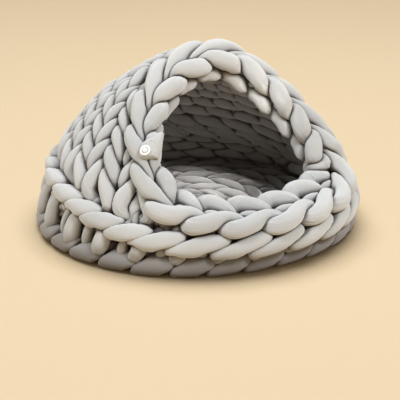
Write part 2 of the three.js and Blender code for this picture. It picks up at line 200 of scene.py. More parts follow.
def yarn_mesh(name, points, quads, caps, uvs, layers):
    """Mesh of quads and end caps, with a value at each point for each layer."""
    around = len(caps[0]) if caps else 0
    cap_loops = np.concatenate(caps) if caps else np.zeros(0, int)
    corners = np.concatenate([quads.ravel(), cap_loops])
    cap_starts = quads.size + np.arange(len(caps)) * around
    starts = np.concatenate([np.arange(len(quads)) * 4, cap_starts])
    sizes = np.concatenate([np.full(len(quads), 4), np.full(len(caps), around)])
    mesh = bpy.data.meshes.new(name)
    mesh.vertices.add(len(points))
    mesh.vertices.foreach_set("co", points.ravel())
    mesh.loops.add(len(corners))
    mesh.loops.foreach_set("vertex_index", corners.astype(np.int32))
    mesh.polygons.add(len(starts))
    mesh.polygons.foreach_set("loop_start", starts.astype(np.int32))
    mesh.polygons.foreach_set("loop_total", sizes.astype(np.int32))
    cap_uv = np.zeros((len(cap_loops), 2))
    cloth_place = mesh.uv_layers.new(name="yarn")
    cloth_place.data.foreach_set("uv", np.concatenate([uvs, cap_uv]).astype(np.float32).ravel())
    for label, values in layers.items():
        held = mesh.attributes.new(label, "FLOAT", "POINT")
        held.data.foreach_set("value", np.concatenate(values).astype(np.float32))
    mesh.update(calc_edges=True)
    mesh.validate()
    return mesh


def padded_piece(name, mesh):
    """The mesh as a piece of stuffed or flattened yarn."""
    mesh.shade_smooth()
    mesh.materials.append(jersey)
    piece = bpy.data.objects.new(name, mesh)
    bpy.context.collection.objects.link(piece)
    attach(piece, "root")
    return piece


def yarn_piece(name, strands, around=16, lowest=None, against=()):
    """One piece from many runs of yarn, each pressed flat where it meets the others."""
    turn = np.arange(around) * (2.0 * np.pi / around)
    points, quads, caps, uvs = [], [], [], []
    layers = {"pinch": [], "crease": [], "tone": []}
    start = 0
    for run, reach in zip(strands, pressed(strands, against, around)):
        skin, pinch, crease = yarn_skin(run, reach, turn)
        faces, places = skin_faces(run, around, start)
        points.append(skin)
        quads.append(faces)
        uvs.append(places)
        if not run["closed"]:
            caps.append(start + np.arange(around))
            caps.append(start + len(skin) - around + np.arange(around)[::-1])
        layers["pinch"].append(np.repeat(pinch, around))
        layers["crease"].append(crease.ravel())
        layers["tone"].append(np.full(len(skin), run["seed"] % 1.0))
        start += len(skin)
    points = np.concatenate(points) * millimetre
    if lowest is not None:
        points[:, 2] = np.maximum(points[:, 2], lowest * millimetre)
    uvs = np.concatenate(uvs) * [millimetre, millimetre * 2.0 * math.pi * usual_yarn]
    return padded_piece(name, yarn_mesh(name, points, np.concatenate(quads), caps, uvs, layers))


def new_material(name):
    """A material with its node tree and its shader."""
    material = bpy.data.materials.new(name)
    material.use_nodes = True
    tree = material.node_tree
    return material, tree, tree.nodes["Principled BSDF"]


def node(tree, kind, **values):
    """A node with the values given, each a setting of the node or one of its inputs."""
    made = tree.nodes.new(kind)
    for key, value in values.items():
        if hasattr(made, key):
            setattr(made, key, value)
        else:
            made.inputs[key].default_value = value
    return made


def noise(tree, place, scale, detail, roughness=0.5):
    """Soft random value that varies with the place."""
    made = node(tree, "ShaderNodeTexNoise", Scale=scale, Detail=detail, Roughness=roughness)
    tree.links.new(place, made.inputs["Vector"])
    return made.outputs["Fac"]


def ranged(tree, value, low, high, least=0.0, most=1.0, easing="LINEAR"):
    """A value brought from between low and high to between least and most."""
    made = node(tree, "ShaderNodeMapRange", interpolation_type=easing)
    tree.links.new(value, made.inputs["Value"])
    for key, number in (("From Min", low), ("From Max", high), ("To Min", least), ("To Max", most)):
        made.inputs[key].default_value = number
    return made.outputs["Result"]


def between(tree, share, first, second):
    """A colour between two, each of them fixed or the output of a node."""
    made = node(tree, "ShaderNodeMix", data_type="RGBA")
    tree.links.new(share, made.inputs["Factor"])
    for key, colour in (("A", first), ("B", second)):
        if isinstance(colour, tuple):
            made.inputs[key].default_value = colour
        else:
            tree.links.new(colour, made.inputs[key])
    return made.outputs["Result"]


def worked_out(tree, operation, *terms):
    """Result of one sum, whose terms are numbers or outputs of nodes."""
    made = node(tree, "ShaderNodeMath", operation=operation)
    for place, term in enumerate(terms):
        if isinstance(term, float):
            made.inputs[place].default_value = term
        else:
            tree.links.new(term, made.inputs[place])
    return made.outputs[0]


def raised(tree, height, strength, distance, below=None):
    """Low relief from a height, on top of the relief below it."""
    made = node(tree, "ShaderNodeBump", Strength=strength, Distance=distance)
    tree.links.new(height, made.inputs["Height"])
    if below is not None:
        tree.links.new(below, made.inputs["Normal"])
    return made.outputs["Normal"]


def jersey_material():
    """Brushed grey jersey: fine ribs of stitches along the yarn, soft pleats where it is pinched. Shade is
    painted into its colour in the creases, between yarns and towards the ground.
    """
    mid_grey, pale_grey = (0.500, 0.497, 0.490, 1.0), (0.605, 0.600, 0.590, 1.0)
    painted_shade_grey = (0.176, 0.156, 0.149, 1.0)
    ribs_round, row_length = 84.0, 0.0014
    material, tree, shader = new_material("grey_jersey")
    shader.inputs["Roughness"].default_value = 0.92
    shader.inputs["Diffuse Roughness"].default_value = 1.0
    shader.inputs["Sheen Weight"].default_value = 0.25
    shader.inputs["Sheen Roughness"].default_value = 0.45
    shader.inputs["Specular IOR Level"].default_value = 0.12
    spot = node(tree, "ShaderNodeTexCoord").outputs["Object"]
    cloth_place = node(tree, "ShaderNodeUVMap", uv_map="yarn").outputs["UV"]
    pinch = node(tree, "ShaderNodeAttribute", attribute_name="pinch").outputs["Fac"]
    crease = node(tree, "ShaderNodeAttribute", attribute_name="crease").outputs["Fac"]
    tone = node(tree, "ShaderNodeAttribute", attribute_name="tone").outputs["Fac"]

    # Mottled grey, a little different on each run of yarn
    clouded = worked_out(tree, "MULTIPLY_ADD", tone, 0.35, noise(tree, spot, 9.0, 3.0, 0.55))
    flecked = worked_out(tree, "MULTIPLY_ADD", noise(tree, spot, 420.0, 2.0, 0.6), 0.35, clouded)
    mottled = between(tree, ranged(tree, flecked, 0.45, 1.15), mid_grey, pale_grey)

    # Painted shade: deep grey where yarn presses on yarn, in the depth between yarns, and down by the
    # ground
    crease_shade_share = ranged(tree, crease, 0.04, 0.36, easing="SMOOTHSTEP")
    creased = between(tree, crease_shade_share, mottled, painted_shade_grey)
    # Painted shade: ambient occlusion from nearby yarn mixes the colour toward the shade grey
    painted_occlusion_shade = node(tree, "ShaderNodeAmbientOcclusion", samples=8, Distance=0.030)
    in_the_open = ranged(tree, painted_occlusion_shade.outputs["AO"], 0.02, 0.66, easing="SMOOTHSTEP")
    shaded = between(tree, in_the_open, painted_shade_grey, creased)
    # Painted shade: the colour turns to the shade grey towards the ground, below about 46 mm
    position = node(tree, "ShaderNodeSeparateXYZ")
    tree.links.new(spot, position.inputs[0])
    ground_shade_fade = ranged(tree, position.outputs["Z"], 0.004, 0.046, least=0.10, easing="SMOOTHSTEP")
    tree.links.new(between(tree, ground_shade_fade, painted_shade_grey, shaded), shader.inputs["Base Color"])

    # Ribs of the jersey run along the yarn, its rows across it
    on_cloth = node(tree, "ShaderNodeSeparateXYZ")
    tree.links.new(cloth_place, on_cloth.inputs[0])
    rib_turn = worked_out(tree, "MULTIPLY", on_cloth.outputs["Y"], ribs_round / (usual_yarn * millimetre))
    row_turn = worked_out(tree, "MULTIPLY", on_cloth.outputs["X"], 2.0 * math.pi / row_length)
    rib = worked_out(tree, "SINE", rib_turn)
    weave = worked_out(tree, "MULTIPLY_ADD", worked_out(tree, "SINE", row_turn), 0.5, rib)

    # Pleats that are longer than wide, and the soft lumps of the wadding
    stretched = node(tree, "ShaderNodeMapping")
    stretched.inputs["Scale"].default_value = (38.0, 150.0, 1.0)
    tree.links.new(cloth_place, stretched.inputs["Vector"])
    pleat = worked_out(tree, "MULTIPLY", noise(tree, stretched.outputs["Vector"], 1.0, 3.0), pinch)
    lumps = raised(tree, noise(tree, spot, 38.0, 2.0, 0.45), 0.5, 0.0018)
    pleats = raised(tree, pleat, 0.8, 0.0085, lumps)
    tree.links.new(raised(tree, weave, 0.12, 0.00010, pleats), shader.inputs["Normal"])
    return material


jersey = jersey_material()
chance = np.random.RandomState(11)


def slanted_stitch(middle_at, half, lean, radius, ends=0.5, blunt=2.6, dive=4.0, slant=0.0):
    """One slanted stitch. middle_at gives point, across and facing for offsets along the rope."""
    tip = 0.12
    t = np.linspace(-1.0, 1.0, 28)
    point, across, facing = middle_at(half * t)
    shift = lean * t
    down = dive * np.abs(t) ** 3.0
    points = point + across * shift[:, None] - facing * down[:, None]
    plump = ends + (1.0 - ends) * np.sqrt(np.clip(1.0 - np.abs(t) ** blunt, 0.0, 1.0))
    rounded = np.sqrt(np.clip(1.0 - np.abs(t) ** 16, 0.0, 1.0))
    width = radius * plump * (tip + (1.0 - tip) * rounded)
    return strand(points, width, facing, slant=slant, seed=chance.rand())


def outward(heading):
    """Level direction away from the upright middle."""
    angle = np.radians(heading)
    return np.stack([np.sin(angle), -np.cos(angle), 0.0 * angle], -1)


def facing_heading(heading, middle):
    """One where a heading looks the way of the middle one, nought at right angles and beyond."""
    return np.maximum(0.0, np.cos(np.radians(heading - middle)))


edge_radius, edge_yarn, edge_stitches = 205.0, 13.7, 27
edge_first, edge_pitch = -24.6, 360.0 / edge_stitches
edge_bulge, bulge_heading = 13.0, 75.0
edge_tuck, tuck_heading, tuck_width = 4.0, 5.0, 22.0
floor_middle = np.array([-7.5, 7.1, 0.0])
floor_rounds, round_width, floor_yarn, floor_level = 7, 26.0, 13.6, 13.2
outer_round, outer_crossing = 181.0, 194.0
floor_stitch, floor_lean = 52.0, 8.5
crossing_yarn, crossing_sunk = 9.6, 3.4


def edge_middle(centre):
    """Middle line of a stitch of the edge ring, which bulges at the right and is drawn in in front."""
    def at(offset):
        heading = centre + offset
        out = outward(heading)
        bulge = edge_bulge * facing_heading(heading, bulge_heading) ** 4
        tuck = edge_tuck * bell(heading - tuck_heading, tuck_width)
        point = out * (edge_radius + bulge - tuck)[:, None] + floor_middle + [0.0, 0.0, edge_yarn]
        across = np.broadcast_to([0.0, 0.0, 1.0], out.shape)
        return point, across, unit(out + [0.0, 0.0, 0.15])

    return at


def flat_middle(centre, ring_radius):
    """Middle line of a stitch of the floor's rounds."""
    def at(offset):
        out = outward(centre + offset)
        point = out * ring_radius + floor_middle + [0.0, 0.0, floor_level]
        facing = np.broadcast_to([0.0, 0.0, 1.0], out.shape)
        return point, out, facing

    return at


floor_strands = []
for k in range(edge_stitches):
    middle_at = edge_middle(edge_first + edge_pitch * k + chance.normal(0.0, 0.3))
    half = 0.57 * edge_pitch
    shape = {"ends": 0.8, "blunt": 6.0, "dive": 1.0, "slant": 0.6}
    floor_strands.append(slanted_stitch(middle_at, half, 1.5, edge_yarn, **shape))
for band in range(floor_rounds):
    ring_radius = outer_round - round_width * band
    stitches = max(5, int(round(2.0 * math.pi * ring_radius / floor_stitch)))
    lean = floor_lean if band % 2 else -floor_lean
    half = 0.80 * 360.0 / stitches
    for k in range(stitches):
        centre = 360.0 * (k + 0.37 * band) / stitches + chance.normal(0.0, 0.8)
        middle_at = flat_middle(centre, ring_radius)
        floor_strands.append(slanted_stitch(middle_at, half, lean, floor_yarn, dive=5.0))

# Yarn that crosses under the joins of the rounds, and closes the middle
for band in range(floor_rounds):
    ring_radius = outer_crossing - round_width * band
    at = np.linspace(0.0, 360.0, int(ring_radius), endpoint=False)
    points, out, facing = flat_middle(0.0, ring_radius)(at)
    points = points - [0.0, 0.0, crossing_sunk]
    floor_strands.append(strand(points, crossing_yarn, facing, closed=True, seed=chance.rand()))
points = np.linspace(-1.0, 1.0, 16)[:, None] * [15.0, 5.0, 0.0] + [0.0, 0.0, usual_yarn]
floor_strands.append(strand(points, usual_yarn, [0.0, 0.0, 1.0], seed=chance.rand()))

knit_floor = yarn_piece("floor_rounds_and_edge_ring", floor_strands, lowest=0.4)
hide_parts("knit_floor")

# Lower wall
# Upright bars of the same yarn, a wide and a narrow one for each stitch, stand on the edge ring.
# Over them lies the proud round, a rope of twenty-six slanted stitches that is low in front and
# high behind. It is one run of knitting with the floor and the hood.

dome_radius, dome_foot, dome_top = 228.0, 32.0, 260.0
dome_curve, dome_fullness = 1.45, 0.68
dome_bulge, dome_bulge_heading = 4.5, -115.0


def dome_point(heading, height, depth):
    """Point on the dome, or on the like dome that lies a depth inside it."""
    span = dome_top - dome_foot
    share = np.clip((height - dome_foot) / span, 0.0, 1.0)
    angle = np.radians(heading)
    bulge = dome_bulge * facing_heading(heading, dome_bulge_heading)
    radius = (dome_radius + bulge - depth) * (1.0 - share**dome_curve) ** dome_fullness
    z = np.minimum(height, dome_foot) + share * (span - 0.95 * depth)
    return np.stack([radius * np.sin(angle), -radius * np.cos(angle), z + 0.0 * angle], -1)


def dome_facing(heading, height):
    """Outward direction of the dome's surface."""
    level = np.clip(height, 1.0, dome_top - 2.0)
    along = dome_point(heading + 0.5, level, 0.0) - dome_point(heading - 0.5, level, 0.0)
    rise = dome_point(heading, level + 0.5, 0.0) - dome_point(heading, level - 0.5, 0.0)
    return unit(np.cross(along, rise))


def dome_strand(heading, height, depth, radius):
    """A run of yarn that follows the dome, a depth inside it."""
    points = dome_point(heading, height, depth)
    return strand(points, radius, dome_facing(heading, height), seed=chance.rand())


# Heading and height of the proud round's middle
band_table = np.array([
    (-180, 85), (-142, 89), (-104, 87), (-84, 80), (-72, 72), (-61, 63), (-50, 55),
    (-38, 49), (-24, 45), (-10, 42), (30, 42), (65, 47), (105, 58), (145, 74),
], float)


def band_height(heading):
    """Height of the proud round's middle, a smooth closed curve through the table."""
    turned = (np.asarray(heading, float) + 180.0) % 360.0 - 180.0
    after = np.searchsorted(band_table[:, 0], turned, side="right")
    count = len(band_table)
    start = band_table[after - 1, 0]
    end = np.where(after < count, band_table[after % count, 0], 180.0)
    share = (turned - start) / (end - start)
    a, b, c, d = (band_table[(after + k) % count, 1] for k in (-2, -1, 0, 1))
    rise, rise_after = (c - a) / 2.0, (d - b) / 2.0
    bend = 3.0 * (c - b) - 2.0 * rise - rise_after
    twist = 2.0 * (b - c) + rise + rise_after
    return b + share * (rise + share * (bend + share * twist))


def band_middle(centre):
    """Middle line of a stitch of the proud round."""
    band_depth = 13.6

    def at(offset):
        heading = centre + offset
        height = band_height(heading)
        point = dome_point(heading, height, band_depth)
        facing = dome_facing(heading, height)
        tangent = unit(slope(point, False))
        return point, np.cross(facing, tangent), facing

    return at


# Edge of the mouth, where all rows end: heading, height, depth of the chain's middle, tip of its
# face into the mouth, spread of its legs, radius of its yarn
rim_table = np.array([
    (-36, 95, 17, 38, 12, 12.2), (-43.5, 120, 13, 26, 8.5, 11.4), (-50, 147, 12, 18, 7.5, 11.2),
    (-56.5, 171, 12, 13, 7.5, 11.0), (-60, 197, 11, 10, 8.5, 11.2), (-60, 222, 8, 6, 10, 11.6),
    (-52, 240, 6, 3, 10.5, 11.8), (0, 251, 6, 0, 10.5, 12.0), (54, 242, 6, 3, 10, 11.8),
    (59, 222, 8, 6, 10, 11.6), (58, 198, 10, 10, 10, 11.6), (57, 171, 12, 13, 10.5, 11.6),
    (54, 146, 13, 18, 10.5, 11.8), (51, 123, 15, 24, 11.5, 12.0), (50, 103, 18, 32, 13, 12.2),
    (44, 86, 22, 42, 16, 12.0), (25, 80, 24, 48, 17, 11.8), (4, 78, 24, 48, 17, 11.8),
    (-17, 82, 22, 46, 16, 12.0),
], float)


def length_along(points):
    """Length along a line of points, up to each of them."""
    return np.concatenate([[0.0], np.cumsum(np.linalg.norm(np.diff(points, axis=0), axis=1))])


def heading_of(points):
    """Heading at which each point lies."""
    return np.degrees(np.arctan2(points[:, 0], -points[:, 1]))


def rim_samples(per_span=40):
    """Closed smooth curve through the table, with the other values carried along it."""
    knots = dome_point(rim_table[:, 0], rim_table[:, 1], rim_table[:, 2])
    count = len(knots)
    points, values = [], []
    t = np.linspace(0.0, 1.0, per_span, endpoint=False)[:, None]
    for k in range(count):
        p = [knots[(k + i) % count] for i in (-1, 0, 1, 2)]
        gap = [max(np.linalg.norm(p[i + 1] - p[i]) ** 0.5, 1e-4) for i in range(3)]
        m1 = (p[1] - p[0]) / gap[0] - (p[2] - p[0]) / (gap[0] + gap[1]) + (p[2] - p[1]) / gap[1]
        m2 = (p[2] - p[1]) / gap[1] - (p[3] - p[1]) / (gap[1] + gap[2]) + (p[3] - p[2]) / gap[2]
        m1, m2 = m1 * gap[1], m2 * gap[1]
        a = 2.0 * p[1] - 2.0 * p[2] + m1 + m2
        b = -3.0 * p[1] + 3.0 * p[2] - 2.0 * m1 - m2
        points.append(((a * t + b) * t + m1) * t + p[1])
        values.append(rim_table[k, 2:] * (1.0 - t) + rim_table[(k + 1) % count, 2:] * t)
    return np.concatenate(points), np.concatenate(values)


rim_points, rim_values = rim_samples()
closed_points = np.vstack([rim_points, rim_points[:1]])
closed_values = np.vstack([rim_values, rim_values[:1]])
rim_place = length_along(closed_points)
rim_length = rim_place[-1]


def rim_frame(place):
    """Middle, face, across, leg spread and yarn of the chain at a length along it."""
    spot = np.mod(place, rim_length)

    def pick(table, at):
        return np.stack([np.interp(at, rim_place, column) for column in table.T], -1)

    origin = pick(closed_points, spot)
    ahead = pick(closed_points, np.mod(spot + 3.0, rim_length))
    behind = pick(closed_points, np.mod(spot - 3.0, rim_length))
    along = unit(ahead - behind)
    depth, turn, spread, yarn = pick(closed_values, spot).T
    normal = dome_facing(heading_of(origin), np.minimum(origin[:, 2] + depth * 0.8, dome_top - 3.0))
    normal = unit(normal - along * np.sum(normal * along, 1)[:, None])
    inward = np.cross(along, normal)
    turn = np.radians(turn)[:, None]
    face = normal * np.cos(turn) + inward * np.sin(turn)
    return origin, face, np.cross(along, face), spread, yarn


def past_rim(points):
    """Distance from the mouth's edge, below nought inside the mouth."""
    sparse = 4
    gap = np.linalg.norm(points[:, None, :] - rim_points[None, ::sparse, :], axis=2)
    nearest = gap.min(1)
    heading, height = heading_of(points), points[:, 2]
    edge_a = np.stack([heading_of(rim_points), rim_points[:, 2]], -1)[::sparse]
    edge_b = np.roll(edge_a, -1, 0)
    crosses = (edge_a[None, :, 1] > height[:, None]) != (edge_b[None, :, 1] > height[:, None])
    rise = np.where(edge_b[:, 1] == edge_a[:, 1], 1e-6, edge_b[:, 1] - edge_a[:, 1])
    cut = edge_a[:, 0] + (height[:, None] - edge_a[:, 1]) * (edge_b[:, 0] - edge_a[:, 0]) / rise
    inside = (crosses & (heading[:, None] < cut)).sum(1) % 2 == 1
    return np.where(inside, -nearest, nearest)


wall_stitches, band_yarn, band_rise = 25, 14.0, 17.0
wall_first, wall_pitch = -24.8, 360.0 / wall_stitches
band_lean, band_lean_left = 5.6, 3.4

# The rope's stitches are even round the back, and a little shorter on the left, as in the photo
even_centres = [wall_first + wall_pitch * k for k in range(21)]
rope_centres = even_centres + [-83.0, -72.0, -61.2, -50.3, -39.2]
wall_strands = []
for k, centre in enumerate(rope_centres):
    pitch = 0.5 * ((rope_centres[(k + 1) % len(rope_centres)] - rope_centres[k - 1]) % 360.0)
    centre += chance.normal(0.0, 0.5)
    leftness = facing_heading(centre, -70.0) ** 3
    yarn = band_yarn * (1.0 - 0.14 * facing_heading(centre, 60.0)) * (1.0 + 0.06 * leftness)
    lean = band_lean - band_lean_left * leftness
    middle_at = band_middle(centre)
    shape = {"ends": 0.60, "blunt": 3.6, "dive": 3.5, "slant": 0.5}
    wall_strands.append(slanted_stitch(middle_at, 0.76 * pitch, lean, yarn, **shape))

# Bars under the rope: heading beside the stitch, radius of the yarn, depth in the wall
bar_first, bar_foot, bar_lean, bar_crown = -32.0, 24.0, 3.2, 5.0
sunk_in_front, sunk_at_right, front_height = 6.5, 10.0, 60.0
for k in range(wall_stitches):
    for aside, width, inset in ((0.0, 12.4, 18.5), (-5.6, 7.6, 22.5)):
        heading = bar_first + wall_pitch * k + aside + chance.normal(0.0, 0.7)
        t = np.linspace(0.0, 1.0, 18)
        top = float(band_height(heading)) + 4.0
        height = bar_foot + (top - bar_foot) * t
        lean = heading + bar_lean * (t - 0.5)
        sunk = sunk_in_front * np.clip((front_height - top) / 12.0, 0.0, 1.0)
        sunk = sunk + sunk_at_right * facing_heading(heading, 60.0) * (1.0 - t)
        crown = bar_crown * np.sin(np.pi * np.clip(0.75 * t + 0.1, 0.0, 1.0))
        depth = inset + sunk + 3.0 - crown + 6.0 * t**3
        wall_strands.append(dome_strand(lean, height, depth, width * (1.0 - 0.34 * t**1.5)))

# Short arcs of the same rounds, seen from inside. The last tier backs the rope all round, and the
# two lowest lie deeper in front.
arc_levels = (19.0, 35.0, 53.0, 71.0, 89.0, None)
arc_yarn, arc_width, arc_rise = 12.8, 0.70, 9.0
for tier, level in enumerate(arc_levels):
    for k in range(wall_stitches):
        centre = wall_first + wall_pitch * (k + 0.5 * (tier % 2)) + chance.normal(0.0, 0.6)
        band = float(band_height(centre))
        if level is not None and level > band + 6.0:
            continue
        t = np.linspace(-1.0, 1.0, 16)
        heading = centre + arc_width * wall_pitch * t
        tilt = chance.normal(9.0, 2.5) * t
        middle = band + 15.0 if level is None else level
        height = middle + arc_rise * (1.0 - t * t) - 4.0 + tilt + chance.normal(0.0, 1.5)
        deepest, rise = 31.0, 8.0
        if tier < 2 and math.cos(math.radians(centre)) > -0.2:
            deepest, rise = 37.0, 3.0
        if level is None:
            deepest, rise = 32.0, 1.0
        depth = deepest - rise * t**2 + chance.normal(0.0, 1.0)
        radius = chance.normal(arc_yarn, 0.5) * (1.0 - 0.25 * t**4)
        wall_strands.append(dome_strand(heading, height, depth, radius))

# One more arc low at the back, where three others meet
t = np.linspace(-1.0, 1.0, 16)
heading, height = 166.0 + 9.0 * t, 38.0 + 5.0 * t
wall_strands.append(dome_strand(heading, height, 30.0 - 5.0 * t**2, 11.5 * (1.0 - 0.3 * t**4)))

# Sunk bars between the rope and the rows above it
upper_length, upper_lean, upper_yarn = 34.0, 2.4, 9.5
for k in range(wall_stitches * 2):
    heading = wall_first + wall_pitch * (k / 2.0 + 0.25) + chance.normal(0.0, 0.7)
    t = np.linspace(0.0, 1.0, 14)
    height = float(band_height(heading)) - 4.0 + upper_length * t
    lean = heading + (upper_lean if k % 2 else -upper_lean) * (t - 0.5)
    depth = 27.0 + 3.0 * t
    kept = past_rim(dome_point(lean, height, depth)) > -12.0
    if kept.sum() > 5:
        wall_strands.append(dome_strand(lean[kept], height[kept], depth[kept], upper_yarn))

wall = yarn_piece("wall_bars_and_proud_round", wall_strands, around=20, lowest=1.0, against=floor_strands)
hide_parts("knit_wall_and_hood")

# Chain round the mouth
# The last row is closed off in a chain of seventeen V stitches that runs right round the mouth, in
# the same stuffed yarn, over the ends of the rows. Its face tips into the mouth along the lip,
# where a third small loop shows in each valley.

# Where each V starts along the edge: hand knitting is uneven
v_starts = np.array([
    -12, 29, 88, 138, 187, 232, 288, 346, 394, 441, 484, 516, 545, 597, 648, 702, 750,
], float)
rim_stitches = len(v_starts)


def v_place(stitch):
    """Length along the edge of a stitch number, which may be a fraction."""
    whole = np.arange(-rim_stitches, 2 * rim_stitches)
    starts = v_starts[whole % rim_stitches] + rim_length * (whole // rim_stitches)
    return np.interp(stitch, whole, starts)


def eased(share):
    """Nought to one with a soft start and end."""
    return share * share * (3.0 - 2.0 * share)


def drift(count, per, size):
    """Smooth uneven offsets, one draw each few samples."""
    draws = chance.normal(0.0, size, count // per + 4)
    place = np.arange(count) / per
    whole = place.astype(int)
    part = eased(place - whole)
    return draws[whole] * (1.0 - part) + draws[whole + 1] * part


rim_strands = []
leg_start, leg_end, leg_depth, leg_sway = 0.05, 0.95, 17.0, 0.27
loop_reach, loop_hook, tuck_depth = 0.77, 0.11, 8.0
for k in range(rim_stitches):
    t = np.linspace(leg_start, leg_end, 64)
    x = (t - 0.5) + leg_sway * np.sin(4.0 * np.pi * t)
    ahead = (loop_reach - loop_hook * np.tanh((t - 0.5) / 0.12)) * (1.0 - np.cos(2.0 * np.pi * t))
    origin, face, across, spread, yarn = rim_frame(v_place(k + ahead))
    out = leg_depth * (np.abs(np.sin(2.0 * np.pi * t)) ** 0.85 - 1.0)
    out -= tuck_depth * eased(np.clip((t - 0.76) / 0.12, 0.0, 1.0))
    wobble = drift(len(t), 16, 0.7)
    points = origin + across * (4.0 * spread * x)[:, None] + face * (out + wobble)[:, None]
    plump = yarn * (0.66 + 0.38 * eased(np.clip((ahead - 0.05) / 0.75, 0.0, 1.0)))
    end = np.clip(np.minimum(t - leg_start, leg_end - t) / 0.05, 0.0, 1.0)
    rim_strands.append(strand(points, plump * (0.45 + 0.55 * np.sqrt(end)), face, seed=chance.rand()))

# Small third loop in each valley of the lip
lip_height, valley_yarn = 100.0, 7.2
for k in range(rim_stitches):
    t = np.linspace(-1.0, 1.0, 20)
    origin, face, across = rim_frame(v_place(k - 0.20 + 0.36 * t))[:3]
    if origin[:, 2].max() < lip_height:
        points = origin + across * (1.5 + 6.0 * t)[:, None] - face * (4.0 + 5.0 * t**2)[:, None]
        radius = valley_yarn * np.sqrt(np.clip(1.08 - t**2, 0.0, 1.0))
        rim_strands.append(strand(points, radius, face, seed=chance.rand()))

# Back of each loop, inside the mouth
back_depth, back_yarn = 25.0, 10.2
for k in range(rim_stitches):
    t = np.linspace(-1.0, 1.0, 24)
    origin, face, across, spread = rim_frame(v_place(k + 0.45 + 0.62 * t))[:4]
    behind = back_depth + 6.0 * t**2
    points = origin + across * (spread - 1.0 + 3.0 * t)[:, None] - face * behind[:, None]
    radius = back_yarn * np.sqrt(np.clip(1.06 - t**4, 0.0, 1.0))
    rim_strands.append(strand(points, radius, face, seed=chance.rand()))

rim = yarn_piece("chain_round_mouth", rim_strands, around=24, lowest=1.0, against=wall_strands)
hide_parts("knit_wall_and_hood")

# Hood
# Eight rows of plain knitting over the back, in the same stuffed yarn. Each row is one run, drawn
# in loops through the row below, so that columns of nested V stitches show outside and short arcs
# inside. The rows end under the chain of the mouth.

hood_stitches, hood_levels, narrowing_row = 22, 9, 5
last_row, crown_stitches = 7, 6
hood_lean, lean_foot = 38.0, 80.0
per_stitch = 36

climb = 1.0 - (1.0 - np.linspace(0, 1, 401)) ** 2
outline_height = dome_foot + (dome_top - dome_foot) * climb
outline = dome_point(np.zeros(401), outline_height, 0.0)
outline_length = length_along(outline)


def hood_height(heading, row):
    """Height at a row or part of one, counted up the dome from the proud round."""
    foot = np.interp(band_height(heading) + band_rise, outline_height, outline_length)
    whole = outline_length[-1]
    return np.interp(foot + (whole - foot) * (row / hood_levels), outline_length, outline_height)


def hood_heading(heading, height):
    """Heading of a column, which leans back from the mouth as it rises."""
    share = np.maximum(0.0, (height - lean_foot) / (dome_top - lean_foot))
    return heading + hood_lean * share**1.7 * np.sin(np.radians(heading))


hood_strands = []

# Loops in the corner between the rope, the first row and the chain: heading, depth, radius
t = np.linspace(0.0, 1.0, 22)
for heading, depth, width in ((-50.5, 27.0, 12.0), (-44.5, 31.0, 12.0), (-55.5, 33.0, 11.0)):
    lean = heading + 3.0 * (t - 0.5)
    hood_strands.append(dome_strand(lean, 56.0 + 46.0 * t, depth + 3.0 * t, width))


def unbroken(kept):
    """Lists of the samples kept, one for each stretch of a closed row, none of them very short."""
    count, shortest = len(kept), 7
    stretches, run = [], []
    for i in (np.arange(count) + int(np.argmin(kept))) % count:
        if kept[i]:
            run.append(i)
        elif run:
            stretches.append(run)
            run = []
    if run:
        stretches.append(run)
    return [run for run in stretches if len(run) >= shortest]


def hood_course(row, stitches, leg, depth_swing, tall_rows):
    """One row of loops right round, cut where the mouth is."""
    sway, lowest_level, below_foot = 0.22, -0.6, 30.0
    crown_height, crown_width, crown_sunk = 190.0, 60.0, 7.0
    end_dive, end_width, last_dive, last_width = 18.0, 60.0, 12.0, 16.0
    count = per_stitch * stitches
    t = np.arange(count) / per_stitch
    x = t + sway * np.sin(4.0 * np.pi * t) + drift(count, per_stitch // 4, 0.018)
    up = -0.5 * tall_rows * np.cos(2.0 * np.pi * t) + drift(count, per_stitch // 4, 0.03)
    out = depth_swing * (2.0 * np.abs(np.sin(2.0 * np.pi * t)) ** 0.85 - 1.0)
    out += drift(count, per_stitch // 4, 0.6)
    flat_heading = 360.0 * x / stitches - 180.0
    level = np.clip(row + 0.88 + up, lowest_level, hood_levels - 0.02)
    height = np.where(
        level > 0.0,
        hood_height(flat_heading, np.maximum(level, 0.0)),
        band_height(flat_heading) + band_rise + level * below_foot,
    )
    heading = hood_heading(flat_heading, height)
    middle = 12.6 + depth_swing + crown_sunk * np.clip((height - crown_height) / crown_width, 0.0, 1.0)
    margin = past_rim(dome_point(heading, height, middle))
    dive = end_dive * np.clip(1.0 - margin / end_width, 0.0, 1.0) ** 1.5
    dive += last_dive * np.clip(1.0 - margin / last_width, 0.0, 1.0) ** 1.5
    points = dome_point(heading, height, middle - out + dive)
    facing = dome_facing(heading, height)
    plump = leg * (0.93 + 0.09 * np.cos(4.0 * np.pi * (t - 0.25)))
    plump *= 1.0 + drift(count, per_stitch // 2, 0.02)
    plump *= 0.60 + 0.40 * np.clip(margin / 20.0, 0.0, 1.0)
    kept = margin > (17.0 if row == 0 else 2.0)
    if kept.all():
        return [strand(points, plump, facing, closed=True, seed=chance.rand())]
    return [strand(points[run], plump[run], facing[run], seed=chance.rand()) for run in unbroken(kept)]


# All columns below the narrowing, two of them as one above it, and six stitches at the crown
for row in range(narrowing_row):
    hood_strands += hood_course(row, hood_stitches, leg=11.8 - 0.2 * row, depth_swing=10.0, tall_rows=2.05)
for row in range(narrowing_row, last_row):
    hood_strands += hood_course(row, hood_stitches // 2, leg=12.0, depth_swing=10.0, tall_rows=2.0)
hood_strands += hood_course(last_row, crown_stitches, leg=12.0, depth_swing=9.0, tall_rows=1.8)

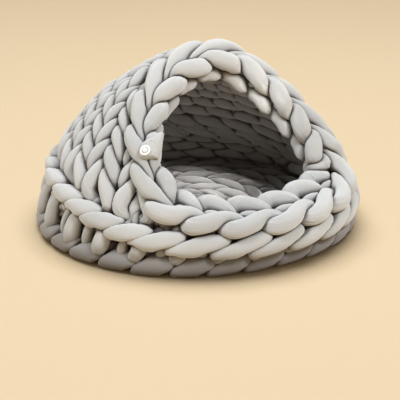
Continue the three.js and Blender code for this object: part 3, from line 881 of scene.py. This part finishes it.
# Short arcs of the same rows, seen from inside
for row in range(-1, last_row + 1):
    stitches = hood_stitches if row < narrowing_row else hood_stitches // 2
    for k in range(stitches):
        t = np.linspace(-1.0, 1.0, 14)
        flat_heading = 360.0 * (k + 0.5 * (row % 2) + 0.68 * t) / stitches - 180.0
        flat_heading = flat_heading + chance.normal(0.0, 0.5)
        tilt = chance.normal(0.32, 0.08) * t
        level = row + 0.55 + 0.34 * (1.0 - t * t) + tilt + chance.normal(0.0, 0.04)
        height = hood_height(flat_heading, level)
        heading = hood_heading(flat_heading, height)
        depth = 37.0 - 9.0 * t**2
        if past_rim(dome_point(heading, height, depth)).min() > 22.0:
            radius = chance.normal(11.6, 0.5) * (1.0 - 0.25 * t**4)
            hood_strands.append(dome_strand(heading, height, depth, radius))

hood = yarn_piece("hood_rows", hood_strands, around=15, against=rim_strands + wall_strands)
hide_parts("knit_wall_and_hood")

# Yarn end
# The last of the yarn is left unstuffed, pressed flat and sewn down over the chain, to the left of
# the mouth.

tab_heading, tab_height = np.array([-48.5]), np.array([152.0])
tab_thickness, tab_depth = 6.0, 11.0
tab_facing = dome_facing(tab_heading, tab_height)[0]
tab_side = unit(np.cross([0.0, 0.0, 1.0], tab_facing))
tab_up = np.cross(tab_facing, tab_side)
tab_middle = dome_point(tab_heading, tab_height, np.zeros(1))[0]
tab_axes = np.eye(4)
tab_axes[:3] = np.stack([tab_side, tab_up, tab_facing, tab_middle], -1)

# Outline of the end, across and up from its middle, where the snap lies in it
tab_outline = np.array([
    (-7.4, -8.6), (-7.0, -1.0), (-4.8, 5.6), (-0.6, 10.2), (4.0, 11.4), (8.0, 17.0), (12.6, 28.0),
    (15.4, 19.0), (17.6, 8.0), (18.0, -4.0), (17.2, -11.6), (12.0, -11.4), (6.5, -13.6),
    (1.6, -16.0), (-4.0, -14.0),
])
tab_heart = np.array([5.0, 0.0])
snap_x, snap_y = 2.6, -6.6


def tab_height_at(x, y, edge):
    """Height of the outer face: thick edge, folded over the mouth's edge, puckered round the snap."""
    fold = 0.045 * np.maximum(0.0, x - 7.0) ** 2 + 0.022 * np.maximum(0.0, y - 7.0) ** 2 - 2.8
    from_snap = np.hypot(x - snap_x, y - snap_y)
    angle = np.arctan2(y - snap_y, x - snap_x)
    pucker = 0.5 * bell(from_snap - 8.6, 1.8)
    rays = 0.20 * np.sin(9.0 * angle + 1.0) * bell(from_snap - 11.0, 4.0)
    strap = 0.8 * bell(y - 7.5 + 0.035 * (x - 2.0) ** 2, 0.8) * (x > 4.0)
    seam = 0.9 * bell(y + 7.6 - 0.010 * (x - 11.0) ** 2, 0.7) * (x > 2.0)
    ties = 0.25 * np.sin(2.2 * x) * bell(y + 7.6, 1.6) * (x > 2.0)
    crown = tab_thickness * np.sqrt(np.clip(1.0 - edge**7, 0.0, 1.0))
    return crown - fold - pucker + rays - strap - seam + ties


def ring_faces(rings, steps):
    """Faces between rings of points, each ring joined to the next."""
    faces = []
    for row in range(0, (rings - 1) * steps, steps):
        for j in range(steps):
            k = (j + 1) % steps
            faces.append((row + j, row + steps + j, row + steps + k, row + k))
    return faces


tab_turns, tab_rings = 120, 30
corners = np.vstack([tab_outline, tab_outline[:1]])
corner_gap = length_along(corners)
at = np.linspace(0.0, corner_gap[-1], tab_turns, endpoint=False)
border = np.stack([np.interp(at, corner_gap, corners[:, i]) for i in (0, 1)], -1)
for smoothing in range(3):
    border = 0.5 * border + 0.25 * (np.roll(border, 1, 0) + np.roll(border, -1, 0))
tab_points, tab_uv = [], []
last_ring = 2 * tab_rings - 1
for ring in range(2 * tab_rings):
    top_side = ring < tab_rings
    edge = min((ring + 0.02 if top_side else last_ring - ring) / (tab_rings - 1), 1.0)
    flat = tab_heart + (border - tab_heart) * edge
    z = tab_height_at(flat[:, 0], flat[:, 1], edge if top_side else 1.0)
    if not top_side:
        z = z - tab_depth * np.sqrt(max(0.0, 1.0 - edge**4))
    local = np.column_stack([flat, z, np.ones(tab_turns)])
    tab_points.append((local @ tab_axes.T)[:, :3])
    tab_uv.append(flat)
tab_points = np.concatenate(tab_points) * millimetre
tab_quads = np.array(ring_faces(2 * tab_rings, tab_turns))
tab_caps = [last_ring * tab_turns + np.arange(tab_turns), np.arange(tab_turns)[::-1]]
tab_uv = np.concatenate(tab_uv)[tab_quads.ravel(), ::-1] * millimetre
tab_layers = {"tone": [np.full(len(tab_points), 1.4)]}
tab = padded_piece("yarn_end", yarn_mesh("yarn_end", tab_points, tab_quads, tab_caps, tab_uv, tab_layers))
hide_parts("yarn_end_tab")

# Snap
# A metal press stud in the yarn end: a pale turned ring round a bright domed cap. Its other half
# is out of sight, so only these two pieces are made.

snap_height = tab_thickness + 2.4


def turned(profile, steps):
    """Points of a profile of radius and height, turned about the upright middle."""
    points = []
    for radius, height in profile:
        for j in range(steps):
            angle = 2.0 * math.pi * j / steps
            points.append((radius * math.cos(angle), radius * math.sin(angle), height))
    return points


def turned_piece(name, profile, material):
    """A ring or cap turned from its profile and set in the yarn end."""
    steps = 64
    place = Matrix(tab_axes.tolist()) @ Matrix.Translation((snap_x, snap_y, snap_height))
    place = Matrix.Scale(millimetre, 4) @ place
    points = [place @ Vector(point) for point in turned(profile, steps)]
    faces = [(a, d, c, b) for a, b, c, d in ring_faces(len(profile), steps)]
    mesh = bpy.data.meshes.new(name)
    mesh.from_pydata(points, [], faces)
    mesh.validate()
    mesh.shade_smooth()
    mesh.materials.append(material)
    piece = bpy.data.objects.new(name, mesh)
    bpy.context.collection.objects.link(piece)
    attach(piece, "root")
    return piece


def stud_material(name, colour, metallic, roughness):
    """Smooth metal or enamel with a fine grain."""
    material, tree, shader = new_material(name)
    shader.inputs["Metallic"].default_value = metallic
    grain = noise(tree, node(tree, "ShaderNodeTexCoord").outputs["Object"], 900.0, 3.0)
    dulled = tuple(0.93 * c for c in colour) + (1.0,)
    tree.links.new(between(tree, grain, dulled, colour + (1.0,)), shader.inputs["Base Color"])
    worn = ranged(tree, grain, 0.0, 1.0, roughness * 0.7, roughness * 1.4)
    tree.links.new(worn, shader.inputs["Roughness"])
    return material


pale = stud_material("snap_ring_pale", (0.82, 0.80, 0.76), 0.10, 0.38)
bright = stud_material("snap_cap_bright", (0.93, 0.93, 0.92), 0.35, 0.20)
ring_profile = [
    (4.2, 0.8), (4.2, 0.2), (4.5, 0.0), (6.9, 0.0), (7.2, 0.3), (7.2, 0.8), (7.0, 1.15), (6.4, 1.5),
    (5.7, 1.6), (5.0, 1.5), (4.4, 1.15), (4.2, 0.8),
]
cap_profile = [
    (0.02, 0.0), (3.5, 0.0), (3.7, 0.2), (3.7, 0.9), (3.55, 1.4), (3.2, 2.1), (2.6, 2.7),
    (1.8, 3.05), (0.9, 3.18), (0.02, 3.2),
]
ring = turned_piece("snap_ring_turned", ring_profile, pale)
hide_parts("snap_ring")
cap = turned_piece("snap_cap_domed", cap_profile, bright)
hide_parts("snap_cap")

# Studio
# A sheet of plain cream paper, flat under the house and curved up all round like a wide bowl. Soft
# round lamps light the house from above, in front, the left and behind, two small ones stand for
# the light that enters the mouth and bounces inside, and one lamp is kept for the paper alone.

def paper_bowl():
    """The paper, in metres: flat at the middle, then rising in a curve to a steep rim."""
    flat_end, curve_width, curve_rise, curve_steps = 1.5, 2.88, 1.3, 16
    steps, sunk = 96, 0.0005
    profile = [(0.6, 0.0), (flat_end, 0.0)]
    for i in range(1, curve_steps + 1):
        share = i / curve_steps
        profile.append((flat_end + curve_width * share, curve_rise * share**2.1))
    profile += [(4.7, 1.7), (4.9, 2.6)]
    points = turned([(radius, height - sunk) for radius, height in profile], steps)
    faces = ring_faces(len(profile), steps) + [tuple(range(steps))]
    mesh = bpy.data.meshes.new("studio_floor")
    mesh.from_pydata(points, [], faces)
    mesh.shade_smooth()
    piece = bpy.data.objects.new("studio_floor", mesh)
    bpy.context.collection.objects.link(piece)
    material, tree, shader = new_material("cream_paper")
    shader.inputs["Roughness"].default_value = 0.95
    shader.inputs["Specular IOR Level"].default_value = 0.05
    cloud = noise(tree, node(tree, "ShaderNodeTexCoord").outputs["Object"], 1.2, 2.0)
    cream = between(tree, cloud, (0.80, 0.655, 0.445, 1.0), (0.82, 0.675, 0.460, 1.0))
    tree.links.new(cream, shader.inputs["Base Color"])
    mesh.materials.append(material)
    return piece


paper = paper_bowl()
ground = bpy.data.collections.new("ground")
ground.objects.link(paper)
house = bpy.data.collections.new("house")
for piece in (knit_floor, wall, rim, hood, tab, ring, cap):
    house.objects.link(piece)


def lamp(name, place, aim, size, power, colour, lit, spread=180.0):
    """A round soft lamp, in metres and watts, that lights one collection alone."""
    light = bpy.data.lights.new(name, "AREA")
    light.shape = "DISK"
    light.size = size
    light.energy = power
    light.spread = math.radians(spread)
    light.color = colour
    piece = bpy.data.objects.new(name, light)
    bpy.context.collection.objects.link(piece)
    piece.location = place
    piece.rotation_euler = (Vector(place) - Vector(aim)).to_track_quat("Z", "Y").to_euler()
    piece.visible_camera = False
    piece.light_linking.receiver_collection = lit


def level_way(heading):
    """Level direction of a heading."""
    angle = math.radians(heading)
    return Vector((math.sin(angle), -math.cos(angle), 0.0))


view_heading, view_down = -25.0, 20.0
toward, right = level_way(view_heading), level_way(view_heading + 90.0)
front, left = level_way(10.0), level_way(-78.0)
up = Vector((0.0, 0.0, 1.0))
heart = up * 0.1
cool, clear = (0.92, 0.965, 1.0), (0.93, 0.97, 1.0)
warm, rosy, plain = (1.0, 0.98, 0.96), (1.0, 0.90, 0.92), (1.0, 0.99, 0.98)
lamp("overhead", toward * 0.25 - right * 0.25 + up * 2.6, heart, 2.0, 15.0, cool, house)
lamp("behind", front * -1.7 + right * 0.6 + up * 1.5, heart, 1.0, 9.0, clear, house)
lamp("front", front * 1.6 + up * 1.6, heart, 0.6, 30.0, clear, house)
lamp("left", left * 1.6 + up * 2.0, heart, 1.2, 30.0, cool, house)
lamp("mouth", (-0.06, -0.62, 0.70), (0.045, 0.06, 0.02), 0.10, 0.036, warm, house, spread=9.0)
lamp("inside", (0.02, -0.03, 0.05), (-0.04, 0.04, 0.25), 0.16, 0.024, rosy, house)
lamp("ground", up * 3.2, up * 0.0, 3.4, 114.0, plain, ground)
world = bpy.data.worlds.new("studio")
world.use_nodes = True
world.node_tree.nodes["Background"].inputs["Color"].default_value = (0.97, 0.985, 1.0, 1.0)
world.node_tree.nodes["Background"].inputs["Strength"].default_value = 0.22
bpy.context.scene.world = world
bpy.context.scene.view_settings.view_transform = "Standard"

# Camera at the photograph's height and side, 20 degrees down and 25 degrees round to the left
camera_data = bpy.data.cameras.new("camera")
camera = bpy.data.objects.new("camera", camera_data)
bpy.context.collection.objects.link(camera)
camera_distance = 1.7
aim = right * 0.0014 + up * 0.0284
back = toward * math.cos(math.radians(view_down)) + up * math.sin(math.radians(view_down))
camera.location = aim + back * camera_distance
camera.rotation_euler = back.to_track_quat("Z", "Y").to_euler()
camera_data.sensor_width = 36.0
camera_data.lens = 108.8
camera_data.clip_start = 0.05
camera_data.clip_end = 30.0
bpy.context.scene.camera = camera
